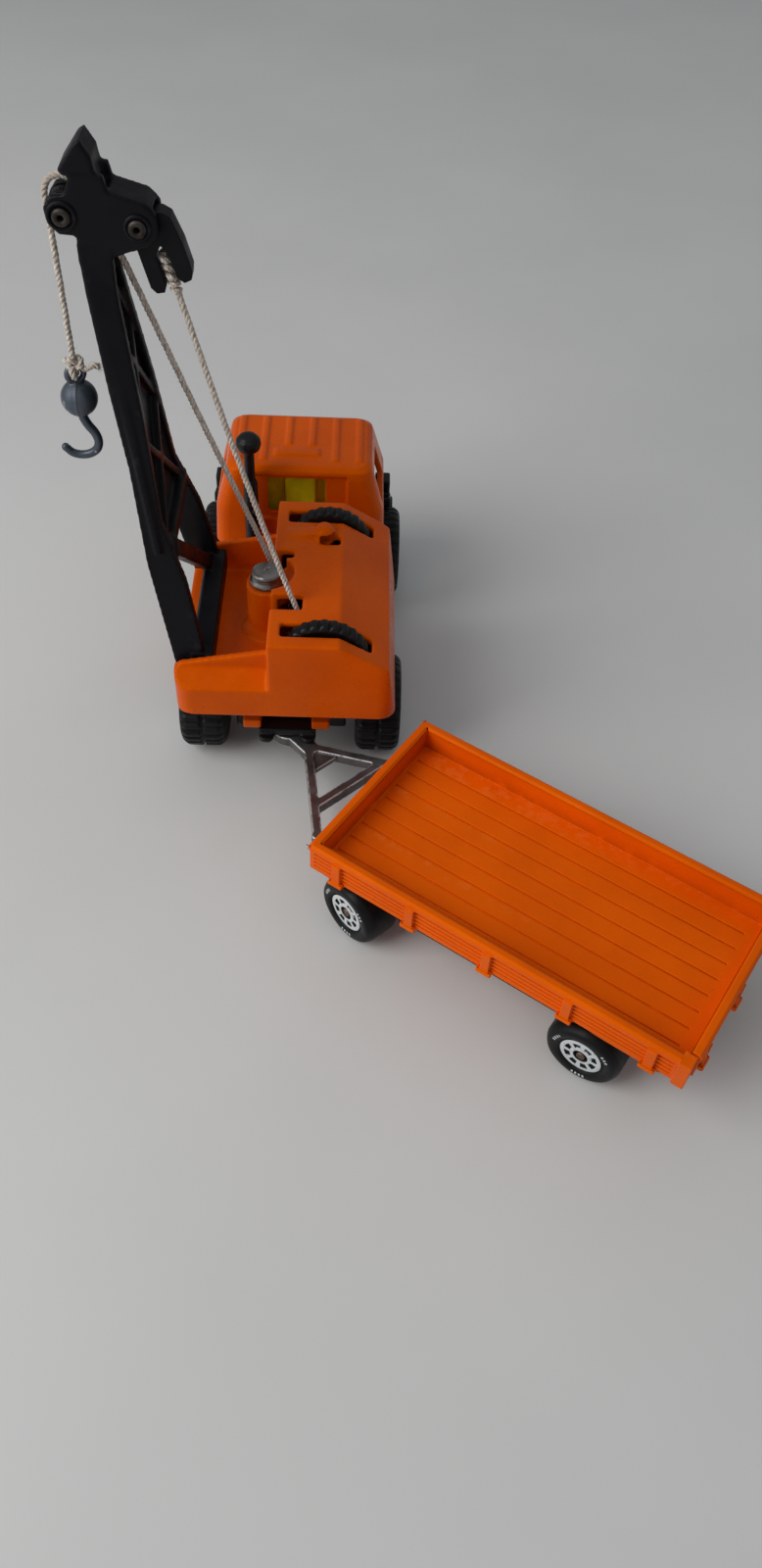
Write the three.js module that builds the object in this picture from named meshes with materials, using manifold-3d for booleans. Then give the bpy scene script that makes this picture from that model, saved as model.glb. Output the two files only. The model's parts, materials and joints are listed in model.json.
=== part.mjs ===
// Die-cast toy mobile crane truck towing a drop-side drawbar trailer.
// Millimetres, +Z up. The truck looks along +Y; its upper works are slewed a quarter turn to the
// left, so the jib stands over -X. The group is shifted at the end so that the middle of the
// bottom of the whole object is the origin.
import * as THREE from 'three';
import { mergeVertices } from 'three/addons/utils/BufferGeometryUtils.js';
import Module from 'manifold-3d';

const wasm = await Module();
wasm.setup();

// ---------- driving dimensions ----------
const GAP = 0.3;                                  // clearance between touching pieces
const TRUCK = { wheelR: 11.2, tyreWidth: 10.2, halfTrack: 25, wheelbase: 55.3, axleR: 1.1 };
const FRAME = { halfWidth: 13, bottom: 14.5, top: 21.5, rear: -9, front: 67.5 };
const TAB = { length: 3.6, height: 2.4 };                // two lugs at the tail of the frame
const CAB = {
  rear: 42.6, front: 69.2, roofFront: 66, bottom: 21.8, top: 44.4, halfRoof: 17.2, halfSill: 20.9, wall: 1.5,
};
const ROOF = { ribs: [-14.3, -8.6, -2.9, 2.8, 8.5, 14.2], ribWidth: 1.4, raised: 0.5, plate: [-6, 4.6] };
const WING = { inner: 12.2, outer: 14.6, from: 0.06, to: 1.35, nearX: 13.6, farX: 22.5 };
const STACK = { x: -11.3, y: 40.4 };
const SLEW = { x: 0, y: 7.4, neckR: 6, collarR: 7.6 };   // turntable axis
const UPPER = { front: -24, rear: 23.4, half: 24.4, bottom: 23, sill: 30.5, deck: 27.5, top: 43.6 };
const CHEEK = { inner: 18.6, outer: 20.1, frontTop: 33.8, rearTop: 38, shoulder: 33.2 };
const HOUSING = { front: -4, ridge: 11, rearX: 21.6, rearZ: 37.2, wall: 1.6 };
const WINCH = {
  x: 7.8, z: 36, wheelR: 9.7, wheelWidth: 3.2, offset: 18.9, teeth: 26, drumR: 3, drumEnd: 6.4, flangeR: 4.4,
  shaftR: 0.9, boreR: 1.3,
};
const RIVET = { x: -5.3, y: 7, bossR: 4.5, recessR: 6, recessDepth: 3.2, linerR: 7.3 };
const SLOT = { from: -1.4, to: 17.7, width: 3.9 };
const JIB = { hingeX: -20.5, hingeZ: 31.2, footOuter: 18.2, headOuter: 3.6, plate: 2, headZ: 113 };
const PULLEY = { x: -36.5, z: 119.8, grooveR: 2.4, rimR: 3.1, width: 2.6 };
const LINK = { x: -24.1, z: 118.3 };
const ROPE_R = 0.6;
const HOOK = { x: -39.5, ballZ: 83.8, ballR: 3.5, eyeR: 1.6, wireR: 0.9, eyeWireR: 0.6 };
const HITCH = { x: -0.3, y: -9.2, pinR: 1.5, eyeR: 1.9, eyeOuter: 3.4 };
const DRAWBAR = { bottom: 8.6, top: 11.3, arm: 2, apex: 7.6, elbowS: 28, elbowT: 14.4 };
const BED = {
  x: 6.29, y: -52.56, yaw: -0.596, length: 82.5, width: 41.75,
  top: 24.5, bottom: 17.1, floor: 18.7, rimOut: 0.3,
};
const BRACKETS = { along: [6.8, 24, 41.2, 58.4, 75.4], half: 0.95, knuckleR: 0.65, knuckleHalf: 1.6 };
const BED_WALL = { thickness: 1.9, rimZ: 22.9, rimBevel: 0.55 };
const PLANK_Z = [18.3, 19.5, 20.7, 21.9];          // lower edges of the grooves between side planks
const TRAILER = { wheelR: 7.7, tyreWidth: 8.4, halfTrack: 21.6, axleR: 0.9, rearU: 63.5 };
const TAILGATE = { hingeU: 82.2, thickness: 1.5, post: 2.4 };

const COLOURS = {
  orange: 0xf07010, black: 0x17181b, rubber: 0x202124, steel: 0x9a9a98, zinc: 0x6d6862,
  yellow: 0xc3c713, hook: 0x5d6b7d, rope: 0xcfc6b8,
};

// ---------- geometry helpers ----------
const v2 = (points) => points.map(([a, b]) => new THREE.Vector2(a, b));

function box(x0, x1, y0, y1, z0, z1) {
  const g = new THREE.BoxGeometry(x1 - x0, y1 - y0, z1 - z0);
  return g.translate((x0 + x1) / 2, (y0 + y1) / 2, (z0 + z1) / 2);
}

// outline drawn in X,Y and raised from z0 to z1
function prismZ(points, z0, z1) {
  const g = new THREE.ExtrudeGeometry(new THREE.Shape(v2(points)), { depth: z1 - z0, bevelEnabled: false });
  return g.translate(0, 0, z0);
}

// outline drawn in X,Z and extruded from y0 to y1
function prismY(points, y0, y1) {
  const g = new THREE.ExtrudeGeometry(new THREE.Shape(v2(points)), { depth: y1 - y0, bevelEnabled: false });
  return g.rotateX(Math.PI / 2).translate(0, y1, 0);
}

// outline drawn in Y,Z and extruded from x0 to x1
function prismX(points, x0, x1) {
  const g = new THREE.ExtrudeGeometry(new THREE.Shape(v2(points)), { depth: x1 - x0, bevelEnabled: false });
  return g.rotateX(Math.PI / 2).rotateZ(Math.PI / 2).translate(x0, 0, 0);
}

// solid of revolution: profile of [radius, height] pairs that starts and ends on the axis
function lathe(profile, segments, axis) {
  const g = new THREE.LatheGeometry(v2(profile), segments);
  if (axis === 'x') g.rotateZ(-Math.PI / 2);
  if (axis === 'z') g.rotateX(Math.PI / 2);
  return g;
}

function rod(axis, radius, from, to, segments = 20) {
  return lathe([[0, from], [radius, from], [radius, to], [0, to]], segments, axis);
}

function ball(radius, x, y, z) {
  return new THREE.SphereGeometry(radius, 16, 12).translate(x, y, z);
}

// round bar along a curve through the given points
function bar(points, radius, sides, steps) {
  const outline = Array.from({ length: sides }, (_, i) => {
    const a = (2 * Math.PI * i) / sides;
    return [radius * Math.cos(a), radius * Math.sin(a)];
  });
  const path = new THREE.CatmullRomCurve3(points.map((p) => new THREE.Vector3(...p)), false, 'centripetal');
  return new THREE.ExtrudeGeometry(new THREE.Shape(v2(outline)), { steps, extrudePath: path });
}

function toManifold(geometry) {
  const g = geometry.clone();
  g.deleteAttribute('normal');
  g.deleteAttribute('uv');
  const m = mergeVertices(g, 1e-4);
  const index = m.index ? m.index.array : Array.from({ length: m.attributes.position.count }, (_, i) => i);
  const triVerts = [];
  for (let i = 0; i < index.length; i += 3) {
    const [a, b, c] = [index[i], index[i + 1], index[i + 2]];
    if (a !== b && b !== c && a !== c) triVerts.push(a, b, c);
  }
  return new wasm.Manifold(new wasm.Mesh({
    numProp: 3,
    vertProperties: new Float32Array(m.attributes.position.array),
    triVerts: new Uint32Array(triVerts),
  }));
}

function toGeometry(manifold) {
  const mesh = manifold.getMesh();
  const g = new THREE.BufferGeometry();
  g.setAttribute('position', new THREE.BufferAttribute(new Float32Array(mesh.vertProperties), 3));
  g.setIndex(Array.from(mesh.triVerts));
  const flat = g.toNonIndexed();
  flat.computeVertexNormals();
  return flat;
}

function combine(added, removed = []) {
  let body = toManifold(added[0]);
  for (const g of added.slice(1)) body = body.add(toManifold(g));
  for (const g of removed) body = body.subtract(toManifold(g));
  return toGeometry(body);
}

function intersect(a, b) {
  return toGeometry(toManifold(a).intersect(toManifold(b)));
}

function piece(name, geometry, colour, roughness, metalness) {
  const material = new THREE.MeshStandardMaterial({ color: colour, roughness, metalness });
  const mesh = new THREE.Mesh(geometry, material);
  mesh.name = name;
  return mesh;
}

const paint = (name, g) => piece(name, g, COLOURS.orange, 0.35, 0.1);
const plastic = (name, g) => piece(name, g, COLOURS.black, 0.5, 0);
const steel = (name, g) => piece(name, g, COLOURS.steel, 0.35, 0.9);
const cord = (name, g) => piece(name, g, COLOURS.rope, 0.9, 0);

// ---------- wheels and axles ----------
// one-piece plastic wheel about the X axis, outer face towards +X at x = 0
function wheelGeometry(radius, width, boreR, segments) {
  const shoulder = radius * 0.09;
  const dishR = radius * 0.6;
  const dish = width * 0.12;
  return lathe([
    [boreR, -dish], [dishR, -dish], [dishR + 0.4, -0.3], [radius - 2 * shoulder, 0],
    [radius - 0.3, -shoulder], [radius, -2 * shoulder], [radius, -width + shoulder],
    [radius - shoulder, -width],
    [radius * 0.45, -width], [radius * 0.45, -width + 2], [boreR, -width + 2], [boreR, -dish],
  ].reverse(), segments, 'x');
}

function addAxle(group, prefix, spec, segments) {
  const faceToRod = spec.tyreWidth * 0.12;
  const reach = spec.halfTrack - faceToRod + 0.5;
  const boreR = spec.axleR + GAP;
  group.add(steel(`${prefix}_axle_rod`, rod('x', spec.axleR, -reach, reach, 16)));
  for (const [side, sign] of [['left', -1], ['right', 1]]) {
    const geometry = wheelGeometry(spec.wheelR, spec.tyreWidth, boreR, segments);
    const wheel = piece(`${prefix}_wheel_${side}`, geometry, COLOURS.rubber, 0.6, 0);
    wheel.position.set(sign * spec.halfTrack, 0, 0);
    if (sign < 0) wheel.rotation.z = Math.PI;
    group.add(wheel);
  }
}

// ---------- truck chassis ----------
function buildFrame() {
  const w = FRAME.halfWidth;
  const top = FRAME.top;
  const bottom = FRAME.bottom;
  const rail = 2;
  const hole = rod('z', SLEW.neckR + 0.4, bottom, top + 1, 32).translate(SLEW.x, SLEW.y, 0);
  const collarRecess = rod('z', SLEW.collarR + 0.4, bottom - 1, top - rail, 32).translate(SLEW.x, SLEW.y, 0);
  const added = [
    box(-w, w, FRAME.rear, FRAME.front, top - rail, top),
    box(-w, -w + rail, FRAME.rear, FRAME.front, bottom, top - rail / 2),
    box(w - rail, w, FRAME.rear, FRAME.front, bottom, top - rail / 2),
    box(-w, w, FRAME.front - rail, FRAME.front, bottom, top - rail / 2),
    box(-w, w, 30, 33, bottom, top - rail / 2),
    box(-10.2, -6.2, FRAME.rear - TAB.length, FRAME.rear + 2, bottom, bottom + TAB.height),
    box(5, 9, FRAME.rear - TAB.length, FRAME.rear + 2, bottom, bottom + TAB.height),
    box(-w, w, FRAME.rear, FRAME.rear + rail, bottom, top - rail / 2),
  ];
  return combine(added, [hole, collarRecess]);
}

function buildBasePlate() {
  const half = 12.6;
  const top = FRAME.bottom - GAP;
  const z = TRUCK.wheelR;
  const axleBore = (y) => rod('x', TRUCK.axleR + GAP, -half - 1, half + 1, 16).translate(0, y, z);
  const arc = (radius) => Array.from({ length: 9 }, (_, i) => {
    const a = WING.from + ((WING.to - WING.from) * i) / 8;
    return [TRUCK.wheelbase + radius * Math.cos(a), z + radius * Math.sin(a)];
  });
  const wingOutline = [...arc(WING.outer), ...arc(WING.inner).reverse()];
  const added = [
    box(-half, half, -5, 48, 7.5, 9.6),
    box(-half, half, -5, 6, 7.6, top),
    box(-half, half, 49, 62, 7.6, top),
    box(-half, half, 47, 70, 7.5, 9.7),
    box(-half, half, 68.6, 72.2, 7.5, top),
    box(-23.4, 23.4, 69.4, 72.6, 9.5, 16),
    box(-6.8, 6, -12.6, -4, 12.3, top),
    prismX(wingOutline, WING.nearX, WING.farX),
    prismX(wingOutline, -WING.farX, -WING.nearX),
    box(18.4, 22.2, 61.4, 65.6, 21.5, 28.4),
    box(-22.2, -18.4, 61.4, 65.6, 21.5, 28.4),
    rod('z', HITCH.pinR, 7.4, 13, 20).translate(HITCH.x, HITCH.y, 0),
    rod('z', 1.7, 11.7, 13, 16).translate(-5.1, -12.9, 0),
    rod('z', 1.7, 11.7, 13, 16).translate(4.3, -12.9, 0),
  ];
  return combine(added, [axleBore(0), axleBore(TRUCK.wheelbase)]);
}

// body through a stack of rounded levels: [half width, rear y, front y, z]
function loft(levels, corner) {
  const loops = levels.map(([half, rear, front, z]) => {
    const pts = [];
    const arc = 4;
    for (const [cx, cy, a0] of [[half - corner, front - corner, 0], [-half + corner, front - corner, 1],
      [-half + corner, rear + corner, 2], [half - corner, rear + corner, 3]]) {
      for (let i = 0; i <= arc; i += 1) {
        const a = (a0 + i / arc) * (Math.PI / 2);
        pts.push([cx + corner * Math.cos(a), cy + corner * Math.sin(a), z]);
      }
    }
    return pts;
  });
  const n = loops[0].length;
  const vertices = loops.flat(2);
  const tri = [];
  for (let k = 0; k + 1 < loops.length; k += 1) {
    for (let i = 0; i < n; i += 1) {
      const j = (i + 1) % n;
      const [a, b, c, d] = [k * n + i, k * n + j, (k + 1) * n + j, (k + 1) * n + i];
      tri.push(a, b, c, a, c, d);
    }
  }
  for (let i = 1; i + 1 < n; i += 1) {
    tri.push(0, i + 1, i);
    const last = (loops.length - 1) * n;
    tri.push(last, last + i, last + i + 1);
  }
  const g = new THREE.BufferGeometry();
  g.setAttribute('position', new THREE.BufferAttribute(new Float32Array(vertices), 3));
  g.setIndex(tri);
  g.computeVertexNormals();
  return g.toNonIndexed();
}

function buildCab() {
  const c = CAB;
  const wall = c.wall;
  const outer = loft([
    [c.halfSill, c.rear, c.front, c.bottom], [c.halfSill - 0.6, c.rear, c.front - 0.2, 32],
    [c.halfRoof + 0.6, c.rear, c.roofFront + 0.6, 41.4], [c.halfRoof, c.rear + 0.3, c.roofFront, 43.4],
    [c.halfRoof - 1.2, c.rear + 1.4, c.roofFront - 1.2, c.top],
  ], 3);
  const inner = loft([
    [c.halfSill - wall, c.rear + wall + 0.8, c.front - wall, c.bottom - 1],
    [c.halfSill - 0.6 - wall, c.rear + wall + 0.8, c.front - 0.2 - wall, 32],
    [c.halfRoof - wall, c.rear + wall + 0.8, c.roofFront - wall, c.top - 1.6],
  ], 1.6);
  const arch = (x0, x1) => rod('x', 12.5, x0, x1, 40).translate(0, TRUCK.wheelbase, TRUCK.wheelR);
  const wingRoom = (x0, x1) => box(x0, x1, TRUCK.wheelbase, c.front + 2, c.bottom - 2, 29);
  const roofTop = c.top + ROOF.raised;
  const ribs = ROOF.ribs.map((x) => {
    const overPlate = x > ROOF.plate[0] && x < ROOF.plate[1];
    const start = c.rear + (overPlate ? 10 : 3.5);
    return box(x - ROOF.ribWidth / 2, x + ROOF.ribWidth / 2, start, c.roofFront - 2, c.top - 1, roofTop);
  });
  const plate = box(...ROOF.plate, c.rear + 5.4, c.rear + 8.4, c.top - 1, roofTop);
  const rearRecess = box(-12.6, 11.4, c.rear - 1, c.rear + 0.9, 30, 42.2);
  return combine([outer, plate, ...ribs], [
    inner, arch(-24, -13.3), arch(13.3, 24), wingRoom(-24, -13.3), wingRoom(13.3, 24), rearRecess,
    box(-7.6, 6.3, c.rear - 2, c.rear + 5, 31.5, 41.2),
    prismY([[-14.6, 33], [14.6, 33], [13.2, 41], [-13.2, 41]], c.roofFront - 4, c.front + 2),
    prismX([[47, 32.5], [59.5, 32.5], [58, 41], [47, 41]], -24, 24),
  ]);
}

function buildInterior() {
  const y0 = CAB.rear + 2.8;
  const floor = 24.4;
  return combine([
    box(-12.6, 12.6, y0, 62, CAB.bottom + GAP + 0.2, floor),
    box(-14.4, 14.4, y0 + 1.6, y0 + 3, floor - 1, 40.6),
    box(-12.6, 12.6, y0 + 1, y0 + 9, floor - 1, 29),
    box(-3.6, 3.9, y0, y0 + 2.8, floor, 40.6),
    box(-12.4, 12.4, 60, 62.2, floor - 1, 32.4),
  ]);
}

function buildStack() {
  return lathe([
    [0, 0], [1.6, 0], [1.7, 0.5], [1.7, 20], [1.2, 21.4], [1.2, 28.4], [2.6, 29.6], [2.95, 30.8],
    [2.75, 31.9], [1.9, 32.8], [0.9, 33.2], [0, 33.3],
  ], 24, 'z').translate(STACK.x, STACK.y, FRAME.top + GAP);
}

// ---------- upper works ----------
function roundedRect(x0, x1, y0, y1, r) {
  const pts = [];
  const arc = 5;
  const corners = [[x1 - r, y1 - r, 0], [x0 + r, y1 - r, 1], [x0 + r, y0 + r, 2], [x1 - r, y0 + r, 3]];
  for (const [cx, cy, q] of corners) {
    for (let i = 0; i <= arc; i += 1) {
      const a = (q + i / arc) * (Math.PI / 2);
      pts.push([cx + r * Math.cos(a), cy + r * Math.sin(a)]);
    }
  }
  return pts;
}

function buildUpperCasting() {
  const c = SLEW.y;
  const u = UPPER;
  const h = HOUSING;
  const w = h.wall;
  const [y0, y1] = [c - u.half, c + u.half];
  const footprint = prismZ(roundedRect(u.front, u.rear, y0, y1, 3.5), u.bottom, u.top + 3);
  const housing = prismY([[h.front, u.bottom], [u.rear, u.bottom], [h.rearX, h.rearZ], [h.ridge, u.top],
    [h.front, u.top]], y0, y1);
  const shoulders = prismX([[y0, u.bottom], [y1, u.bottom], [y1, u.sill], [c + CHEEK.outer, CHEEK.shoulder],
    [c - CHEEK.outer, CHEEK.shoulder], [y0, u.sill]], u.front, h.front + 1);
  const cheek = (from, to) => prismY([[u.front + 1, u.sill], [h.front + 1, u.sill],
    [h.front + 1, CHEEK.rearTop], [u.front + 1, CHEEK.frontTop]], c + from, c + to);
  const bodyBlock = combine([
    housing, shoulders, cheek(CHEEK.inner, CHEEK.outer), cheek(-CHEEK.outer, -CHEEK.inner),
  ]);
  const rounded = intersect(bodyBlock, footprint);

  const r = RIVET;
  const recessFloor = u.top - r.recessDepth;
  const boss = rod('z', r.bossR, u.bottom + 2, recessFloor, 28).translate(r.x, r.y, 0);
  const bossFoot = lathe([[0, 0], [6, 0], [4.4, 2.4], [0, 2.4]], 28, 'z').translate(r.x, r.y, u.deck - 0.2);
  const recessLiner = intersect(
    rod('z', r.linerR, recessFloor - 1.4, u.top - 0.4, 32).translate(r.x, r.y, 0),
    box(h.front + 0.2, 6, y0 + w, y1 - w, u.top - 6, u.top),
  );
  const cowlWedge = prismY([
    [-2, u.top - 1], [7, u.top - 1], [7, u.top + 1.6], [5.6, u.top + 1.5], [-2, u.top],
  ], 18.2, 21.4);
  const cowlDome = ball(2.8, 6.8, 20, u.top - 0.1);
  const bearing = box(WINCH.x - 2, WINCH.x + 2, c - 1.8, c + 1.8, WINCH.z - 3, u.top - 1);

  const cavity = prismY([[h.front + w, u.bottom - 1], [u.rear - w, u.bottom - 1], [h.rearX - w, h.rearZ - 1],
    [h.ridge - 0.5, u.top - w], [h.front + w, u.top - w]], y0 + w, y1 - w);
  const underDeck = box(u.front + w, h.front + w + 1, y0 + w, y1 - w, u.bottom - 1, u.deck - 1.4);
  const deckRoom = box(u.front - 1, h.front, c - CHEEK.inner, c + CHEEK.inner, u.deck, u.top + 5);
  const hollowShell = combine([rounded], [cavity, underDeck, deckRoom]);

  const slot = (s) => box(SLOT.from, SLOT.to, c + s * WINCH.offset - SLOT.width / 2,
    c + s * WINCH.offset + SLOT.width / 2, WINCH.z + 1, u.top + 2);
  const winchBore = rod('y', 1, c - 3, c + 3, 16).translate(WINCH.x, 0, WINCH.z);
  const recess = rod('z', r.recessR, recessFloor, u.top + 2, 32).translate(r.x, r.y, 0);
  const ropePocket = box(h.front - 1, 2.9, -5.2, -0.6, WINCH.z - 2, u.top + 1);
  const hoistHole = box(h.front - 1, 0.4, 11.7, 14, u.deck + 1.2, u.top + 1);
  const cowlMouth = box(5.9, 10.4, 16.6, 19.6, u.top - 2, u.top + 1.2);
  return combine([hollowShell, boss, bossFoot, recessLiner, cowlWedge, cowlDome, bearing], [
    slot(1), slot(-1), winchBore, recess, ropePocket, hoistHole, cowlMouth,
    box(-10, h.front + w + 4.5, 0, 14, u.bottom - 1, u.deck - 1.4),
    jibHoles(),
  ]);
}

function jibHoles() {
  const reach = CHEEK.outer - 0.5;
  return rod('y', 1 + GAP, -reach, reach, 16).translate(JIB.hingeX, SLEW.y, JIB.hingeZ);
}

function buildUpperBase() {
  const c = SLEW.y;
  const w = HOUSING.wall + GAP;
  const reach = UPPER.half - w;
  const outline = roundedRect(UPPER.front + w, UPPER.rear - w, c - reach, c + reach, 2);
  const plate = prismZ(outline, UPPER.bottom, UPPER.bottom + 1.4);
  const neck = rod('z', SLEW.neckR, FRAME.bottom + 2.6, UPPER.bottom + 0.5, 32).translate(SLEW.x, c, 0);
  const collar = rod('z', SLEW.collarR, FRAME.bottom + 2.6, FRAME.top - 2 - GAP, 32).translate(SLEW.x, c, 0);
  return combine([plate, neck, collar]);
}

function buildUpperRivet() {
  const z = UPPER.top - RIVET.recessDepth + GAP;
  return lathe([
    [0, 0], [3.7, 0], [3.7, 0.8], [3.3, 1], [3.3, 1.5], [3.1, 1.7], [3.3, 1.9], [3.3, 2.4], [2.9, 2.9],
    [1.6, 3.2], [0, 3.3],
  ], 28, 'z').translate(RIVET.x, RIVET.y, z);
}

// thumb wheel with its rope drum, about the Y axis; inward = direction of the drum
function buildThumbWheel(inward) {
  const { teeth } = WINCH;
  const outline = [];
  for (let i = 0; i < teeth; i += 1) {
    for (const [shift, r] of [[0.1, WINCH.wheelR - 0.7], [0.6, WINCH.wheelR]]) {
      const a = (2 * Math.PI * (i + shift)) / teeth;
      outline.push([r * Math.cos(a), r * Math.sin(a)]);
    }
  }
  const half = WINCH.wheelWidth / 2;
  const disc = prismY(outline, -half, half);
  const span = (a, b) => [Math.min(inward * a, inward * b), Math.max(inward * a, inward * b)];
  const drum = rod('y', WINCH.drumR, ...span(half - 0.5, WINCH.drumEnd - 0.5), 20);
  const flange = rod('y', WINCH.flangeR, ...span(WINCH.drumEnd - 1, WINCH.drumEnd), 20);
  return combine([disc, drum, flange], [rod('y', WINCH.boreR, -16, 16, 16)]);
}

// ---------- jib ----------
// half spread of the two side plates' outer faces at height z
function jibSpread(z) {
  const t = (z - JIB.hingeZ) / (JIB.headZ - JIB.hingeZ);
  return JIB.footOuter + (JIB.headOuter - JIB.footOuter) * Math.min(Math.max(t, 0), 1);
}

// middle of the jib seen from the side, at height z
function jibLean(z) {
  return -20.9 - (z - 32) * 0.134;
}

function shear(geometry, shift) {
  const p = geometry.attributes.position;
  for (let i = 0; i < p.count; i += 1) {
    const [dx, dy] = shift(p.getX(i), p.getY(i), p.getZ(i));
    p.setX(i, p.getX(i) + dx);
    p.setY(i, p.getY(i) + dy);
  }
  return geometry;
}

function jibSidePlate(sign) {
  const outline = [
    [-23.6, 29.4], [-17.8, 29.4], [-18, 37], [-20.4, 51], [-24.4, 64], [-26.2, 85], [-28.8, 107],
    [-29, 115], [-34.8, 115], [-34.2, 107], [-32.1, 90], [-29.8, 75], [-28, 55],
  ];
  const plate = prismY(outline, -JIB.plate / 2, JIB.plate / 2);
  return shear(plate, (x, y, z) => [0, SLEW.y + sign * (jibSpread(z) - JIB.plate / 2)]);
}

// flat strip across the jib from height z0 to z1, between two fractions of its spread
function jibStrip(z0, f0, z1, f1, width, depth, offset) {
  const at = (z, f) => f * (jibSpread(z) - JIB.plate / 2);
  const [a, b] = [[at(z0, f0), z0], [at(z1, f1), z1]];
  const length = Math.hypot(b[0] - a[0], b[1] - a[1]);
  const [nx, nz] = [(-(b[1] - a[1]) / length) * (width / 2), ((b[0] - a[0]) / length) * (width / 2)];
  const strip = prismX([
    [a[0] + nx, a[1] + nz], [b[0] + nx, b[1] + nz], [b[0] - nx, b[1] - nz], [a[0] - nx, a[1] - nz],
  ], -depth / 2, depth / 2);
  return shear(strip, (x, y, z) => [jibLean(z) + offset, SLEW.y]);
}

function buildJib() {
  const c = SLEW.y;
  const web = shear(prismX([[-14.6, 58], [14.6, 58], [3, 113.5], [-3, 113.5]], -0.7, 0.7),
    (x, y, z) => [jibLean(z) - 1, c]);
  const lattice = [];
  for (const [z0, z1] of [[58, 80], [80, 98], [98, 112]]) {
    lattice.push(jibStrip(z0, -1, z1, 1, 1.7, 2.6, -0.2));
    lattice.push(jibStrip(z0, 1, z1, -1, 1.7, 2.6, -0.2));
  }
  const footBar = box(-20.4, -16, c - JIB.footOuter + 0.4, c + JIB.footOuter - 0.4, 29.6, 34.4);
  const brace = jibStrip(33, 0.85, 58, -0.9, 3.4, 3, 1);
  const crossbar = box(-26, -22.6, c - 12.8, c + 12.8, 56, 59.6);
  const headOutline = [
    [-34.8, 112], [-34.6, 116.4], [-37.4, 116.7], [-39.1, 118.4], [-39.4, 121], [-38, 122.9],
    [-35.6, 123.2], [-34.4, 126.4], [-28.9, 126.4], [-28.4, 124], [-22.6, 122.3], [-20.9, 120.4],
    [-20.6, 117], [-22.4, 114.9], [-26, 114], [-28.6, 113],
  ];
  const plate = 1.5;
  const cheek = (s) => prismY(headOutline, c + (s > 0 ? JIB.headOuter - plate : -JIB.headOuter),
    c + (s > 0 ? JIB.headOuter : -JIB.headOuter + plate));
  const roof = prismY([
    [-29.4, 123.6], [-28.4, 124], [-22.6, 122.3], [-21.2, 121], [-22.4, 120.6], [-29.4, 122.6],
  ], c - JIB.headOuter + 0.5, c + JIB.headOuter - 0.5);
  const crown = prismY([
    [-32.6, 124.8], [-29.8, 124.6], [-30.4, 129.2], [-32, 131.8], [-33, 131.2], [-36.2, 127],
    [-35.6, 126.3], [-33.4, 126],
  ], c - JIB.headOuter + 0.2, c + JIB.headOuter - 0.2);
  const neck = box(-31.4, -29.8, c - JIB.headOuter + 0.5, c + JIB.headOuter - 0.5, 122, 126);
  const pinHole = (p) => rod('y', 0.8, c - 5, c + 5, 12).translate(p.x, 0, p.z);
  const hinge = rod('y', 1, c - 25, c + 25, 16).translate(JIB.hingeX, 0, JIB.hingeZ);
  return combine([
    jibSidePlate(1), jibSidePlate(-1), web, ...lattice, brace, crossbar, footBar, cheek(1), cheek(-1), roof,
    crown, neck,
  ], [pinHole(PULLEY), pinHole(LINK), hinge]);
}

function buildJibPin() {
  const reach = CHEEK.outer - 0.8;
  return rod('y', 1 - GAP, -reach, reach, 16).translate(JIB.hingeX, SLEW.y, JIB.hingeZ);
}

function buildHeadPin(place) {
  const [headR, shankR, end, shoulder] = [1.5, 0.5, 4.6, 3.9];
  return lathe([
    [0, -end], [headR, -end], [headR, -shoulder], [shankR, -shoulder],
    [shankR, shoulder], [headR, shoulder], [headR, end], [0, end],
  ], 16, 'y').translate(place.x, SLEW.y, place.z);
}

function buildPulley() {
  const half = PULLEY.width / 2;
  const boreR = 0.8;
  return lathe([
    [boreR, -half], [PULLEY.rimR, -half], [PULLEY.grooveR, -0.5], [PULLEY.grooveR, 0.5], [PULLEY.rimR, half],
    [boreR, half], [boreR, -half],
  ], 24, 'y').translate(PULLEY.x, SLEW.y, PULLEY.z);
}

function buildLink() {
  const outline = [
    [-26.3, 118.4], [-25.4, 119.8], [-24, 120.2], [-20.2, 120.2], [-18.8, 119.4], [-17, 115],
    [-15.8, 110.4], [-16, 108.7], [-17.3, 108.1], [-18.6, 109], [-19.6, 112.4], [-20.9, 114.6],
    [-21.9, 112.6], [-20.5, 107.6], [-20.9, 106.2], [-22.3, 106], [-23.3, 107], [-24.4, 111.4], [-25.3, 115],
  ];
  const half = (JIB.headOuter - 1.5) - GAP;
  return combine([prismY(outline, SLEW.y - half, SLEW.y + half)], [
    rod('y', 0.8, 0, 15, 12).translate(LINK.x, 0, LINK.z),
  ]);
}

// ---------- ropes and hook ----------
const LUFF_ROPE = [
  [-20.7, SLEW.y, 112.8], [-19.5, SLEW.y, 108], [-9.1, 1.6, 74], [2.2, -3, 40], [7.6, -3.6, 27.4],
];
const HOIST_RUN = [
  [-0.4, 13.2, 26.8], [-4.4, 12.5, 40.4], [-16.7, 10, 77], [-28.7, 7.7, 113], [-31.4, SLEW.y, 119.4],
  [-33.4, SLEW.y, 122.6], [-35.8, SLEW.y, 124.9], [-38.2, SLEW.y, 124.6], [HOOK.x, SLEW.y, 122.4],
  [HOOK.x, SLEW.y, 119.8],
];
const HOIST_FALL = [[HOOK.x, SLEW.y, 119.4], [HOOK.x, SLEW.y, 104], [HOOK.x, SLEW.y, 91.8]];

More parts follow.
